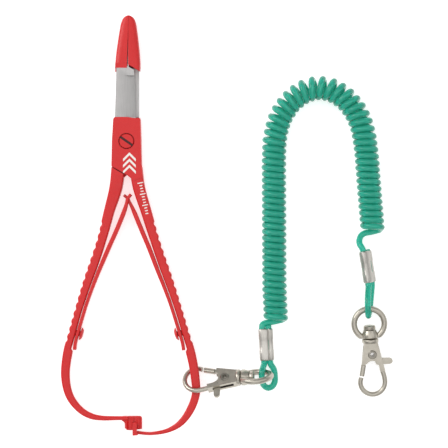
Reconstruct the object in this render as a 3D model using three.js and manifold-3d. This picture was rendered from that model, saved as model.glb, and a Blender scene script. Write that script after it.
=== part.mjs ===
// Squeeze-lock fishing pliers with a scissor section, and a coiled lanyard with two swivel clasps.
// Millimetres, +Z up. The pivot axis is X = Y = 0, the jaws point along +Y, and the pliers lie on their
// back, so the pivot screw's rear face is the origin.

import * as THREE from 'three';
import { mergeVertices } from 'three/addons/utils/BufferGeometryUtils.js';
import Module from 'manifold-3d';

const wasm = await Module();
wasm.setup();

// ---------------------------------------------------------------- sizes

// Clearances
const gap = 0.3;                  // between pieces that touch on the real object
const stepGap = 0.75;             // between a lap plate's end and the other half's shoulder
const ratchetGap = 0.3;           // between the catch's tooth and the ratchet ridges

// Nose and lap joint
const boxThickness = 8;           // both lap plates and the gap between them
const jawReach = 53.4;            // pivot axis to jaw tip
const tipThickness = 4.6;
const noseLean = 0.0144;          // the nose leans towards +X by this much for each millimetre
const seamAtTip = 0.15;           // half of the gap between the jaws where they grip
const seamAtBlades = 0.26;        // half of that gap just above the blades
const jawRoot = 32.6;             // height of the shoulder at the nose's centre line
const crotchDrop = 14.15;         // pivot axis down to the lower shoulder at the centre line
const shoulderSlope = 0.57;       // both shoulders slope this much
const bladeHalfWidth = 5.05;
const lapHalfWidth = 6.1;
const bladeTop = 31;
const bladeFoot = 9.6;
const bladeEdgeTop = 2.8;         // cutting edge, from the centre line, at its upper end
const bladeEdgeFoot = 3.7;        // and at its lower end
const bevelWidth = 4.6;           // ground face beside the cutting edge
const bevelDepth = 3;

// Handles
const edgeChamfer = 0.6;
const rootTaper = 0.6;            // the handles are this much thinner than the box just below it
const gripDepth = 4.4;            // along Z
const bowDepth = 2.6;
const gripWidth = 3.95;           // in the plane of the pliers
const scallopDepth = 0.5;
const scallopPitch = 3.27;
const scallopTop = -35.1;
const scallopCount = 16;
const seatDepth = 0.85;           // recess in each handle for its leaf spring
const seatStart = -50;
const seatFull = -75;
const seatEnd = -88.1;

// Ratchet
const ridgePitch = 2.55;
const ridgeHeight = 0.55;
const ridgeCount = 3;
const blockThickness = 2.1;
const catchWidth = 1.8;
const catchThickness = 1.5;

// Leaf springs and their screws
const leafDepth = 5;              // along Z
const leafRootThickness = 1.35;
const leafMidThickness = 1.8;
const leafTipThickness = 1.25;
const tailLift = 0.5;             // the leaf's tail stands off the handle by this
const tongueDepth = 1.7;
const springScrewY = -80.4;
const springScrewHead = 2.8;      // radius
const springScrewDome = 1.25;
const springScrewShank = 1.2;     // radius
const springScrewLength = 2.6;    // into the handle

// Pivot screw
const pivotHead = 3.1;            // radius
const pivotHeadDepth = 1.5;
const pivotShank = 2.2;           // radius
const slotWidth = 1;
const slotDepth = 0.9;
const slotTurn = -0.61;

// Clasps
const ringOuter = 7.7;            // radius
const ringWire = 1.27;            // radius
const bossRadius = 3.4;
const studNeck = 1.2;             // radius
const studHead = 2.5;             // radius
const studHeadTop = 0.6;          // below the ring's centre
const studHeadDepth = 1.8;
const collarRadius = 3.5;
const collarTop = 6.35;
const collarDepth = 1.85;
const hookWire = 1.05;            // radius
const hookLoop = 5.25;            // radius of the wire's centre line
const hookReach = 25.2;           // ring centre to loop centre
const cheekThickness = 4.2;       // both cheeks and the slot between them
const leverThickness = 1.1;
const leverWidth = 1.7;
const gateWidth = 2.1;
const rivetShank = 1.25;          // radius
const rivetHole = 0.9;            // radius
const rivetHead = 1.9;            // radius
const rivetProud = 0.35;

// Lanyard
const cordDiameter = 2.65;
const coilOuter = 10.6;           // diameter over the turns
const coilHeight = 5.4;           // axis above the floor
const ferruleWidth = 6.2;
const ferruleThickness = 3.7;
const ferruleLength = 13.6;

const midZ = boxThickness / 2;

// ---------------------------------------------------------------- materials

const coat = { color: 0xd9443f, roughness: 0.45, metalness: 0.1 };
const steel = { color: 0xb9b8b6, roughness: 0.35, metalness: 1 };
const nickel = { color: 0xb5afa5, roughness: 0.38, metalness: 1 };
const crimp = { color: 0xc6c4c0, roughness: 0.45, metalness: 1 };
const teal = { color: 0x1fae8c, roughness: 0.25, metalness: 0 };

// ---------------------------------------------------------------- helpers

const flat = (x, y) => new THREE.Vector2(x, y);
const point = (x, y, z) => new THREE.Vector3(x, y, z);

function part(name, geometry, look) {
  const mesh = new THREE.Mesh(geometry, new THREE.MeshStandardMaterial(look));
  mesh.name = name;
  return mesh;
}

// A closed body through rings of points; each ring has the same number of points and is convex.
function loft(rings) {
  const count = rings[0].length;
  const positions = rings.flat().flatMap((p) => [p.x, p.y, p.z]);
  const triangles = [];
  for (let i = 0; i + 1 < rings.length; i += 1) {
    for (let j = 0; j < count; j += 1) {
      const a = i * count + j;
      const b = i * count + ((j + 1) % count);
      triangles.push(a, b, a + count, b, b + count, a + count);
    }
  }
  const last = (rings.length - 1) * count;
  for (let j = 1; j + 1 < count; j += 1) {
    triangles.push(0, j + 1, j, last, last + j, last + j + 1);
  }
  const geometry = new THREE.BufferGeometry();
  geometry.setAttribute('position', new THREE.Float32BufferAttribute(positions, 3));
  geometry.setIndex(triangles);
  return faceOut(geometry);
}

function faceOut(geometry) {
  const p = geometry.getAttribute('position');
  const index = geometry.getIndex();
  let volume = 0;
  for (let i = 0; i < index.count; i += 3) {
    const [a, b, c] = [0, 1, 2].map((k) => new THREE.Vector3().fromBufferAttribute(p, index.getX(i + k)));
    volume += a.dot(b.cross(c));
  }
  if (volume < 0) {
    for (let i = 0; i < index.count; i += 3) {
      const keep = index.getX(i);
      index.setX(i, index.getX(i + 1));
      index.setX(i + 1, keep);
    }
  }
  return geometry;
}

function solid(geometry) {
  const bare = geometry.clone();
  bare.deleteAttribute('normal');
  bare.deleteAttribute('uv');
  const merged = mergeVertices(bare, 1e-4);
  return new wasm.Manifold(new wasm.Mesh({
    numProp: 3,
    vertProperties: new Float32Array(merged.getAttribute('position').array),
    triVerts: new Uint32Array(merged.getIndex().array),
  }));
}

function shape(body) {
  const mesh = body.getMesh();
  const geometry = new THREE.BufferGeometry();
  geometry.setAttribute('position', new THREE.BufferAttribute(mesh.vertProperties, 3));
  geometry.setIndex(new THREE.BufferAttribute(mesh.triVerts, 1));
  geometry.computeVertexNormals();
  return geometry;
}

function slab(outline, depth) {
  return new THREE.ExtrudeGeometry(new THREE.Shape(outline), { depth, bevelEnabled: false });
}

// An outline in the XY plane, made solid between two heights.
function plate(outline, low, high) {
  return solid(slab(outline, high - low).translate(0, 0, low));
}

// An outline in the XZ plane, made solid between two values of Y.
function rail(outline, low, high) {
  return solid(slab(outline, high - low).rotateX(Math.PI / 2).translate(0, high, 0));
}

function cylinder(radius, length, segments = 24) {
  return new THREE.CylinderGeometry(radius, radius, length, segments);
}

// A round bar along Z, from one height to another.
function pin(radius, low, high, x = 0, y = 0, segments = 24) {
  const geometry = cylinder(radius, high - low, segments).rotateX(Math.PI / 2);
  return solid(geometry.translate(x, y, (low + high) / 2));
}

function lathe(profile, segments = 24) {
  return new THREE.LatheGeometry(profile.map(([radius, along]) => flat(radius, along)), segments);
}

function tube(points, radius, steps, sides) {
  const section = new THREE.Shape();
  section.absarc(0, 0, radius, 0, 2 * Math.PI);
  const path = new THREE.CatmullRomCurve3(points);
  const options = { steps, extrudePath: path, curveSegments: sides / 2, bevelEnabled: false };
  return new THREE.ExtrudeGeometry(section, options);
}

// The outline of a strip whose centre line and width are given.
function strip(centre, widths) {
  const near = [];
  const far = [];
  centre.forEach((p, i) => {
    const before = centre[Math.max(i - 1, 0)];
    const after = centre[Math.min(i + 1, centre.length - 1)];
    const along = after.clone().sub(before).normalize();
    const side = flat(along.y, -along.x).multiplyScalar(widths[i] / 2);
    near.push(p.clone().add(side));
    far.unshift(p.clone().sub(side));
  });
  return [...near, ...far];
}

// ---------------------------------------------------------------- nose

// Both halves share one plan. `hand` is +1 for the half whose handle lies at +X, the front half, and -1
// for the rear half. `out` is measured from the nose's centre line towards the handle's side.
const lean = (y) => noseLean * Math.max(y, 0);
const across = (hand, out, y) => flat(lean(y) + hand * out, y);

// Half width and height of the jaws' outer edge, from the blades to the tip.
const jawEdge = [
  [5.3, 0.5], [5.35, 0.6], [5, 0.7], [4.45, 0.79], [3.75, 0.885],
  [3.2, 0.94], [2.3, 0.98], [1.2, 0.996], [0.5, 1],
];

function seamHalfGap(y) {
  const share = THREE.MathUtils.clamp((jawReach * 0.87 - y) / (jawReach * 0.87 - jawRoot), 0, 1);
  return THREE.MathUtils.lerp(seamAtTip, seamAtBlades, share);
}

function jaw(hand) {
  const edge = new THREE.SplineCurve(jawEdge.map(([out, share]) => flat(out, share * jawReach)));
  const rings = edge.getPoints(24).map(({ x: out, y }) => {
    const share = THREE.MathUtils.clamp((y - jawRoot) / (jawReach - jawRoot), 0, 1);
    const half = THREE.MathUtils.lerp(boxThickness, tipThickness, share) / 2;
    const seam = seamHalfGap(y);
    const round = 0.35 * (out - seam) * (0.4 + 0.6 * share);
    const section = [
      [seam, -half], [out - round, -half], [out, -half + 1.3 * round],
      [out, half - 1.3 * round], [out - round, half], [seam, half],
    ];
    return section.map(([x, z]) => point(lean(y) - hand * x, y, midZ + z));
  });
  return solid(loft(rings));
}

// The lap plate and scissor blade of one half.
function lapPlate(hand) {
  const upper = jawRoot - stepGap * 1.15;
  const corner = lapHalfWidth + 0.25;
  const outline = [
    [-bladeHalfWidth, bladeTop + 1], [-bladeHalfWidth, bladeFoot + 0.6],
    [-lapHalfWidth + 0.4, bladeFoot - 0.2],
    [-lapHalfWidth, 1], [-corner, shoulderSlope * corner - crotchDrop], [0, -crotchDrop],
    [1, -crotchDrop - 0.9], [3, -crotchDrop - 2.6], [corner + 0.5, -crotchDrop - 1],
    [corner, -crotchDrop + 4], [lapHalfWidth, 1], [lapHalfWidth - 0.4, bladeFoot],
    [bladeEdgeFoot, bladeFoot], [bladeEdgeTop, upper - shoulderSlope * bladeEdgeTop],
    [seamAtBlades, upper - shoulderSlope * seamAtBlades], [-1, upper], [-bladeHalfWidth + 0.6, bladeTop + 2],
  ];
  const points = outline.map(([out, y]) => across(hand, out, y));
  const body = hand > 0 ? plate(points, midZ + gap / 2, boxThickness) : plate(points, 0, midZ - gap / 2);
  return body.subtract(bladeBevel(hand));
}

// The wedge that is ground off beside the cutting edge, on the outer face of the blade.
function bladeBevel(hand) {
  const face = hand > 0 ? boxThickness : 0;
  const start = bladeEdgeFoot - bevelWidth;
  const reach = bladeEdgeFoot + 2;
  const deep = (bevelDepth / bevelWidth) * (reach - start);
  const outline = [[start, 0], [reach, 0.2], [reach, -deep]];
  const points = outline.map(([out, z]) => flat(hand * out + lean(bladeTop / 2), face + hand * z));
  return rail(points, bladeFoot + 0.5, bladeTop - 3.3);
}

// The space of the other half's lap plate, with its clearance.
function lapPocket(hand) {
  const wide = 14;
  const lower = crotchDrop + stepGap * 0.7;
  const outline = [
    [-wide, jawRoot - shoulderSlope * wide], [0, jawRoot], [wide, jawRoot],
    [wide, shoulderSlope * wide - lower], [0, -lower], [-wide, -lower],
  ];
  const points = outline.map(([out, y]) => across(hand, out, y));
  const over = 2;
  if (hand > 0) {
    return plate(points, -over, midZ + gap / 2);
  }
  return plate(points, midZ - gap / 2, boxThickness + over);
}

// ---------------------------------------------------------------- handles

// Outer edge, width and depth of each handle: [out, y, width, depth].
const rightHandle = [
  [6.5, -10, 5.4, boxThickness], [7.65, -18.9, 5.1, boxThickness - rootTaper],
  [10.4, -29.1, 4.5, 5.4],
  [14.05, -41.9, gripWidth, gripDepth], [20.1, -59.8, gripWidth, gripDepth],
  [26.3, -80.2, gripWidth, gripDepth],
  [29.3, -90.4, gripWidth, 3.7], [30.95, -100.6, 3.7, bowDepth], [31.1, -107.5, 3.5, bowDepth],
  [28.5, -114.8, 3.4, bowDepth], [23.5, -120.9, 2.7, bowDepth], [17.5, -123.8, 1.8, bowDepth],
  [9.9, -124.8, 1.25, bowDepth], [3.3, -124.2, 1.25, bowDepth],
];
const leftHandle = [
  [6.3, -10, 5.6, boxThickness], [7.2, -18.9, 5.4, boxThickness - rootTaper],
  [9.6, -29.1, 4.4, 5.4],
  [12.8, -41.9, gripWidth, gripDepth], [18.75, -59.8, gripWidth, gripDepth],
  [24.6, -80.2, gripWidth, gripDepth],
  [27.2, -90.4, gripWidth, 3.7], [27.9, -100.6, 3.7, bowDepth], [25.7, -109.1, 3.3, bowDepth],
  [20.75, -115.1, 2.8, bowDepth], [15.65, -117.9, 2.5, bowDepth], [10.5, -118.6, 2, bowDepth],
  [3.7, -118.45, 1.65, bowDepth], [-0.5, -118.4, 1.6, bowDepth],
];

function scallop(y) {
  const turns = (scallopTop - y) / scallopPitch;
  if (turns < -0.5 || turns > scallopCount - 0.5) {
    return 0;
  }
  return scallopDepth * Math.pow(0.5 + 0.5 * Math.cos(2 * Math.PI * turns), 1.5);
}

function leafSeat(y) {
  return y < seatEnd ? 0 : seatDepth * THREE.MathUtils.smoothstep(-y, -seatStart, -seatFull);
}

// A station of a handle: the outer edge's point, the unit vector to the inner edge, width and depth.
function station(stations, t) {
  const curve = new THREE.CatmullRomCurve3(stations.map(([out, y]) => point(out, y, 0)));
  const outer = curve.getPoint(t);
  const along = curve.getTangent(t);
  const place = t * (stations.length - 1);
  const i = Math.min(Math.floor(place), stations.length - 2);
  const mix = (column) => THREE.MathUtils.lerp(stations[i][column], stations[i + 1][column], place - i);
  return { outer: flat(outer.x, outer.y), inward: flat(along.y, -along.x), width: mix(2), depth: mix(3) };
}

function stationAt(stations, y) {
  let low = 0;
  let high = 1;
  for (let i = 0; i < 40; i += 1) {
    const middle = (low + high) / 2;
    const found = station(stations, middle).outer.y > y;
    low = found ? middle : low;
    high = found ? high : middle;
  }
  return station(stations, low);
}

// A point beside the handle's inner edge, `off` away from it, straight across from the outer edge's `y`.
function beside(hand, stations, y, off) {
  const { outer, inward, width } = stationAt(stations, y);
  const place = outer.add(inward.clone().multiplyScalar(width - leafSeat(y) + off));
  return flat(hand * place.x, place.y);
}

function handleSection(hand, { outer, inward, width, depth }) {
  const start = scallop(outer.y);
  const end = width - leafSeat(outer.y);
  const half = depth / 2;
  const chamfer = Math.min(edgeChamfer, 0.3 * (end - start), 0.3 * depth);
  const section = [
    [start + chamfer, -half], [end - chamfer, -half], [end, -half + chamfer], [end, half - chamfer],
    [end - chamfer, half], [start + chamfer, half], [start, half - chamfer], [start, -half + chamfer],
  ];
  return section.map(([u, z]) => point(hand * (outer.x + inward.x * u), outer.y + inward.y * u, midZ + z));
}

function handle(hand, stations) {
  const grip = (y) => y < scallopTop + scallopPitch && y > scallopTop - scallopPitch * scallopCount;
  const fine = scallopPitch / 4;
  const coarse = 2.6;
  const length = new THREE.CatmullRomCurve3(stations.map(([out, y]) => point(out, y, 0))).getLength();
  const rings = [];
  let t = 0;
  while (t < 1) {
    const here = station(stations, t);
    rings.push(handleSection(hand, here));
    const speed = station(stations, Math.min(t + 0.001, 1)).outer.distanceTo(here.outer) / 0.001;
    t += (grip(here.outer.y) ? fine : coarse) / Math.max(speed, length / 4);
  }
  rings.push(handleSection(hand, station(stations, 1)));
  return solid(loft(rings));
}

// ---------------------------------------------------------------- ratchet

const blockFront = midZ + 0.2;
const blockLeft = -1.9;
const blockRight = 6.4;
const blockTop = -116.8;
const blockFoot = -122.2;
const ridgeFront = blockFront + ridgeHeight;

function ratchetBlock() {
  const outline = new THREE.Shape();
  outline.moveTo(blockLeft, blockTop);
  outline.lineTo(blockLeft - 0.6, blockTop - 1.55);
  outline.lineTo(blockLeft + 0.8, blockTop - 2.6);
  outline.lineTo(-0.1, blockFoot - 0.5);
  outline.lineTo(1.7, blockFoot - 0.6);
  outline.lineTo(blockRight, blockFoot);
  outline.absarc(blockRight - 1, blockTop - 1, 1, 0, Math.PI / 2);
  const body = plate(outline.getPoints(6), blockFront - blockThickness, blockFront);
  return ridges().reduce((sum, ridge) => sum.add(ridge), body);
}

function ridges() {
  const low = blockFront - 0.2;
  const made = [];
  for (let i = 0; i < ridgeCount; i += 1) {
    const left = -0.9 + i * ridgePitch;
    const crest = [flat(left + 0.9, ridgeFront), flat(left + 0.3, ridgeFront)];
    const outline = [flat(left, low), flat(left + 1.9, low), ...crest];
    made.push(rail(outline, blockFoot + 0.15, blockTop - 0.25));
  }
  return made;
}

// The post on the right bow's end, whose tooth faces the ridges.
function ratchetCatch() {
  const left = 2.55;
  const back = ridgeFront + ratchetGap + 0.4;
  const front = back + catchThickness;
  const post = [flat(left, -124.3), flat(left + catchWidth, -124.3), flat(left + catchWidth, -119.7),
    flat(left + catchWidth - 0.4, -119.3), flat(left + 0.4, -119.3), flat(left, -119.7)];
  const foot = [flat(left, -124.75), flat(left + catchWidth + 0.4, -124.6), flat(left + catchWidth, -123.3),
    flat(left, -123.3)];
  const middle = left + catchWidth / 2;
  const edge = ridgeFront + ratchetGap;
  const tooth = [flat(left + 0.3, back + 0.1), flat(left + catchWidth - 0.3, back + 0.1),
    flat(middle + 0.2, edge), flat(middle - 0.2, edge)];
  return plate(post, back, front)
    .add(plate(foot, midZ - bowDepth / 2, front))
    .add(rail(tooth, -123, -119.7));
}

// ---------------------------------------------------------------- pliers

function springScrewAxis(hand, stations) {
  const { inward } = stationAt(stations, springScrewY);
  return { at: beside(hand, stations, springScrewY, 0), inward: flat(hand * inward.x, inward.y) };
}

// Turns a geometry made along +Y so that it runs inward from the handle at its spring screw.
function onSpringScrew(geometry, hand, stations, off) {
  const { at, inward } = springScrewAxis(hand, stations);
  const turn = Math.atan2(-inward.x, inward.y);
  const place = at.clone().add(inward.clone().multiplyScalar(off));
  return geometry.rotateZ(turn).translate(place.x, place.y, midZ);
}

function half(hand, stations) {
  const drill = cylinder(springScrewShank + gap, 2 * (springScrewLength + gap), 16);
  const screwHole = onSpringScrew(drill, hand, stations, 0);
  let body = jaw(hand).add(handle(hand, stations)).subtract(lapPocket(hand)).add(lapPlate(hand));
  body = body.subtract(pin(pivotShank + gap, -1, boxThickness + 1)).subtract(solid(screwHole));
  if (hand > 0) {
    const headSeat = boxThickness - pivotHeadDepth - gap;
    return body.subtract(pin(pivotHead + gap, headSeat, boxThickness + 1)).add(ratchetCatch());
  }
  return body.add(ratchetBlock());
}

function pivotScrew() {
  const headLow = boxThickness - pivotHeadDepth;
  const turned = lathe([[0, 0], [pivotShank, 0], [pivotShank, headLow], [pivotHead, headLow],
    [pivotHead, boxThickness - 0.3], [pivotHead - 0.25, boxThickness - 0.05], [0, boxThickness - 0.05]]);
  const slot = new THREE.BoxGeometry(3 * pivotHead, slotWidth, 2 * slotDepth)
    .rotateZ(slotTurn).translate(0, 0, boxThickness);
  return solid(turned.rotateX(Math.PI / 2)).subtract(solid(slot));
}

function springScrew(hand, stations) {
  const seat = gap + leafRootThickness + gap + 0.05;
  const dome = springScrewDome;
  const turned = lathe([
    [0, -springScrewLength], [springScrewShank, -springScrewLength], [springScrewShank, seat],
    [springScrewHead, seat], [springScrewHead - 0.25, seat + 0.45 * dome],
    [springScrewHead - 1, seat + 0.85 * dome], [0, seat + dome],
  ], 20);
  const slot = new THREE.BoxGeometry(3 * springScrewHead, 0.8, 0.7).translate(0, seat + dome, 0);
  const cut = solid(turned).subtract(solid(slot));
  return onSpringScrew(shape(cut), hand, stations, 0);
}

// Leaf springs: each row is [y on the handle's outer edge, how far the leaf stands off the inner edge].
// Both leaves hug their handles, then leave them on a free run to the crossing.
const leafHug = [[-87.4, tailLift], [-85.6, 0.2], [-83.6, 0], [-78, 0], [-68, 0], [-60, 0.05], [-54, 0.15]];
const rightLeafRun = [[-42.7, 0.55], [-37.6, 0.95], [-32.4, 1.4], [-27, 1.75], [-23.7, 2.15]];
const leftLeafRun = [[-47.7, 0.55], [-42.7, 1.05], [-37.6, 1.8], [-32.4, 2.5], [-27, 2.85], [-23.8, 2.65]];
const crossing = flat(0.4, -24.3);

function leaf(hand, stations, run, tip) {
  const stops = [...leafHug, ...run]
    .map(([y, lift]) => beside(hand, stations, y, gap + lift + leafRootThickness / 2));
  const centre = new THREE.SplineCurve([...stops, crossing, flat(...tip)]).getPoints(44);
  const widths = centre.map((p) => {
    const rise = THREE.MathUtils.smoothstep(p.y, -70, -45);
    const fall = THREE.MathUtils.smoothstep(p.y, -31, -25);
    const thickness = THREE.MathUtils.lerp(leafRootThickness, leafMidThickness, rise);
    return THREE.MathUtils.lerp(thickness, leafTipThickness, fall);
  });
  const hole = onSpringScrew(cylinder(springScrewShank + gap, 8, 16), hand, stations, 0);
  return plate(strip(centre, widths), midZ - leafDepth / 2, midZ + leafDepth / 2).subtract(solid(hole));
}

function tipBlock(low, high) {
  return plate([flat(-5, -29.6), flat(6, -29.6), flat(6, -20), flat(-5, -20)], low, high);
}

function pliers() {
  const group = new THREE.Group();
  const leafLow = midZ - leafDepth;
  const leafHigh = midZ + leafDepth;
  const forkHalf = tongueDepth / 2 + gap;
  const fork = tipBlock(midZ - forkHalf, midZ + forkHalf);
  const aboveTongue = tipBlock(midZ + tongueDepth / 2, leafHigh);
  const belowTongue = tipBlock(leafLow, midZ - tongueDepth / 2);
  const rightLeaf = leaf(1, rightHandle, rightLeafRun, [-1.25, -22.8]);
  const leftLeaf = leaf(-1, leftHandle, leftLeafRun, [1.75, -22.5]);
  group.add(
    part('front_half', shape(half(1, rightHandle)), coat),
    part('rear_half', shape(half(-1, leftHandle)), coat),
    part('pivot_screw', shape(pivotScrew()), coat),
    part('right_leaf_spring', shape(rightLeaf.subtract(aboveTongue).subtract(belowTongue)), coat),
    part('left_leaf_spring', shape(leftLeaf.subtract(fork)), coat),
    part('right_spring_screw', springScrew(1, rightHandle), coat),
    part('left_spring_screw', springScrew(-1, leftHandle), coat),
  );
  return group;
}

// ---------------------------------------------------------------- clasps

// A clasp's own frame: the ring's centre is the origin, the hook hangs along -Y, the gate is at -X, the
// thumb tab at +X, and the hook's flat faces look along Z.
const pivotOut = 0.4;
const rivetDown = -13;
const slotTop = -9.3;
const slotFoot = -18.2;

function hookLoopPoints() {
  const arm = [[4.2, -19.4], [4.5, -20.7], [5.05, -23]].map(([x, y]) => point(x, y, 0));
  const bow = [];
  for (let degrees = 0; degrees >= -205; degrees -= 20.5) {
    const angle = THREE.MathUtils.degToRad(degrees);
    bow.push(point(hookLoop * Math.cos(angle), hookLoop * Math.sin(angle) - hookReach, 0));
  }
  return [...arm, ...bow];
}

function hookBody() {
  const half = cheekThickness / 2;
  const outline = new THREE.Shape();
  outline.moveTo(-2.8, -collarTop - 1);
  outline.lineTo(2.8, -collarTop - 1);
  outline.lineTo(3.1, -8.4);
  outline.lineTo(4.5, -15.5);
  outline.lineTo(5.5, -20.2);
  outline.lineTo(3.55, -20.6);
  outline.quadraticCurveTo(2.9, -15.7, 0.3, -15.7);
  outline.quadraticCurveTo(-1.4, -15.7, -2.2, -17);
  outline.lineTo(-4.1, -16.6);
  outline.lineTo(-2.8, -8.4);
  const cheeks = plate(outline.getPoints(5), -half, half);
  const slotHalf = leverThickness / 2 + gap;
  const slot = new THREE.BoxGeometry(20, slotTop - slotFoot, 2 * slotHalf)
    .translate(0, (slotTop + slotFoot) / 2, 0);
  const turned = lathe([
    [0, -collarTop - collarDepth], [collarRadius - 0.5, -collarTop - collarDepth],
    [collarRadius, -collarTop - collarDepth + 0.5], [collarRadius, -collarTop - 0.5],
    [collarRadius - 0.5, -collarTop], [studNeck, -collarTop],
    [studNeck, -studHeadTop - studHeadDepth], [studHead, -studHeadTop - studHeadDepth],
    [studHead, -studHeadTop - 0.5], [studHead - 0.6, -studHeadTop], [0, -studHeadTop],
  ], 20);
  const hole = pin(rivetShank + gap, -half - 1, half + 1, pivotOut, rivetDown, 16);
  return cheeks.subtract(solid(slot)).subtract(hole)
    .add(solid(turned))
    .add(solid(tube(hookLoopPoints(), hookWire, 26, 10)));
}

function gateLever() {
  const thin = leverThickness / 2;
  const wide = 1.05;
  const centre = [[-1.95, -9.8], [-2.65, -13], [-3.45, -17.6], [-4.45, -22.2]].map(([x, y]) => flat(x, y));
  const arm = plate(strip(centre, centre.map(() => leverWidth)), -thin, thin);
  const gate = plate(strip(centre.slice(2), [gateWidth, gateWidth]), -wide, wide);
  const web = plate([flat(-2.4, -11), flat(1, -11.2), flat(2.2, -14.5), flat(-2.9, -15)], -thin, thin);
  const tab = new THREE.Shape();
  tab.moveTo(0.5, -13.5);
  tab.lineTo(2.2, -14.9);
  tab.lineTo(7.7, -15.1);
  tab.absarc(7.7, -16.4, 1.3, Math.PI / 2, -Math.PI / 2, true);
  tab.lineTo(2, -17.7);
  const hole = pin(rivetShank + gap, -2, 2, pivotOut, rivetDown, 16);
  return arm.add(gate).add(web).add(plate(tab.getPoints(6), -thin, thin)).subtract(hole);
}

function swivelRing() {
  const torus = new THREE.TorusGeometry(ringOuter - ringWire, ringWire, 8, 28);
  const bossTop = -studHeadTop - studHeadDepth - gap;
  const bossFoot = -collarTop + gap;
  const boss = lathe([[0, bossFoot], [bossRadius, bossFoot], [bossRadius, bossFoot + 1.4],
    [bossRadius - 0.7, bossTop], [0, bossTop]], 20);
  const headRoom = cylinder(studHead + gap, 4, 20).translate(0, bossTop + 2, 0);
  const bore = cylinder(studNeck + gap, 12, 20).translate(0, -5, 0);
  const foot = new THREE.BoxGeometry(20, 4, 20).translate(0, bossFoot - 2, 0);
  return solid(torus).add(solid(boss)).subtract(solid(headRoom)).subtract(solid(bore)).subtract(solid(foot));
}

function gateRivet() {
  const end = cheekThickness / 2 + rivetProud;
  const under = cheekThickness / 2 + 0.1;
  const turned = lathe([
    [rivetHole, -end], [rivetHead - 0.3, -end], [rivetHead, -under], [rivetShank, -under],
    [rivetShank, under], [rivetHead, under], [rivetHead - 0.3, end], [rivetHole, end], [rivetHole, -end],
  ], 14);
  return turned.rotateX(Math.PI / 2).translate(pivotOut, rivetDown, 0);
}

function gateSpring() {
  const outer = 0.5;
  const inner = 0.25;
  const long = 2.2;
  const turned = lathe([[inner, 0], [outer, 0], [outer, long], [inner, long], [inner, 0]], 8);
  return turned.rotateZ(-Math.PI / 2).translate(-0.3, slotTop - 0.8, 0);
}

// `pose` gives the incline of the ring's end, the roll about the clasp's axis, and the heading.
function clasp(name, loopCentre, pose, ringRoll) {
  const group = new THREE.Group();
  const rad = THREE.MathUtils.degToRad;
  group.rotation.set(rad(pose.incline), rad(pose.roll), rad(pose.heading), 'ZXY');
  const reach = point(0, hookReach, 0).applyEuler(group.rotation);
  group.position.copy(loopCentre).add(reach);
  const ring = part(`${name}_swivel_ring`, shape(swivelRing()), nickel);
  ring.rotation.y = rad(ringRoll - pose.roll);
  group.add(
    part(`${name}_hook_body`, shape(hookBody()), nickel),
    part(`${name}_gate_lever`, shape(gateLever()), nickel),
    part(`${name}_gate_rivet`, gateRivet(), nickel),
    part(`${name}_gate_spring`, gateSpring(), steel),
    ring,
  );
  return group;
}

// ---------------------------------------------------------------- lanyard

// Where the two ferrules lie: centre, heading of their length, and roll.
const nearFerrule = { at: point(59.3, -86.5, 2), heading: 3, roll: 0 };
const farFerrule = { at: point(102.4, -53.3, 2.95), heading: 8.8, roll: 47 };

function ferrule(name, { at, heading, roll }) {
  const radius = ferruleThickness / 2;
  const offset = ferruleWidth / 2 - radius;
  const outline = new THREE.Shape();
  outline.absarc(offset, 0, radius, -Math.PI / 2, Math.PI / 2);
  outline.absarc(-offset, 0, radius, Math.PI / 2, 1.5 * Math.PI);
  const options = { depth: ferruleLength, bevelEnabled: false, curveSegments: 8 };
  const geometry = new THREE.ExtrudeGeometry(outline, options)
    .translate(0, 0, -ferruleLength / 2)
    .rotateX(Math.PI / 2);
  const mesh = part(name, shape(solid(geometry)), crimp);
  mesh.rotation.set(0, THREE.MathUtils.degToRad(roll), THREE.MathUtils.degToRad(heading), 'ZXY');
  mesh.position.copy(at);
  return mesh;
}

// Axis of the coiled stretch, from the near end over the arch to the far end.
const coilAxis = [
  [63.3, -75.1], [62.75, -63], [62.6, -42], [62.5, -20.6], [62.55, -5], [63.1, 2.3], [65.6, 10.8],
  [70.6, 17.7], [77.4, 21.9], [84.4, 22.4], [91, 19.5], [96.4, 13.8], [99.8, 6.4], [101.6, -3.6],
  [102.6, -16], [103.5, -27], [104.3, -36.8],
].map(([x, y]) => point(x, y, coilHeight));

const nearTail = [
  [66.3, -77.1, 3], [64.7, -77.1, 1.75], [62.5, -77.1, 1.5], [60.2, -77.2, 1.5], [58.5, -77.5, 1.6],
  [57.6, -78.2, 1.85], [57.5, -79.1, 2],
].map(([x, y, z]) => point(x, y, z));
const nearLoop = [
  [58.43, -94, 2], [58.4, -94.8, 2.2], [58, -95.9, 3.9], [57.5, -97.4, 5.8], [57.3, -98.9, 6.1],
  [57.4, -100.7, 5.3], [57.7, -102.6, 3.3], [58.7, -104.3, 1.8], [60.2, -105, 1.45], [61.8, -104.4, 1.45],
  [62.9, -102.6, 1.45], [63, -100, 1.45], [62.5, -97, 1.5], [61.2, -94.9, 1.85], [60.92, -93.8, 2],
].map(([x, y, z]) => point(x, y, z));
const farTail = [
  [107.3, -38.5, 3], [105.6, -38.6, 1.7], [103.5, -38.7, 1.5], [101.4, -39, 1.5], [99.7, -40.2, 1.6],
  [98.95, -42.2, 2.2], [99.2, -43.9, 3.1], [99.85, -45, 3.7], [100.35, -46, 3.87],
].map(([x, y, z]) => point(x, y, z));
const farLoop = [
  [102.68, -60.75, 3.88], [102.75, -61.6, 4.05], [102.6, -63, 5], [102.3, -65.5, 6.7], [102.15, -68.2, 7.9],
  [102.2, -71, 8.1], [102.4, -73.2, 7], [102.65, -74.1, 4.9], [103, -73.3, 2.7], [103.5, -71, 1.6],
  [103.85, -67.5, 1.45], [104.2, -63.5, 1.7], [104.35, -61.4, 1.95], [104.32, -60.3, 2.03],
].map(([x, y, z]) => point(x, y, z));

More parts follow.
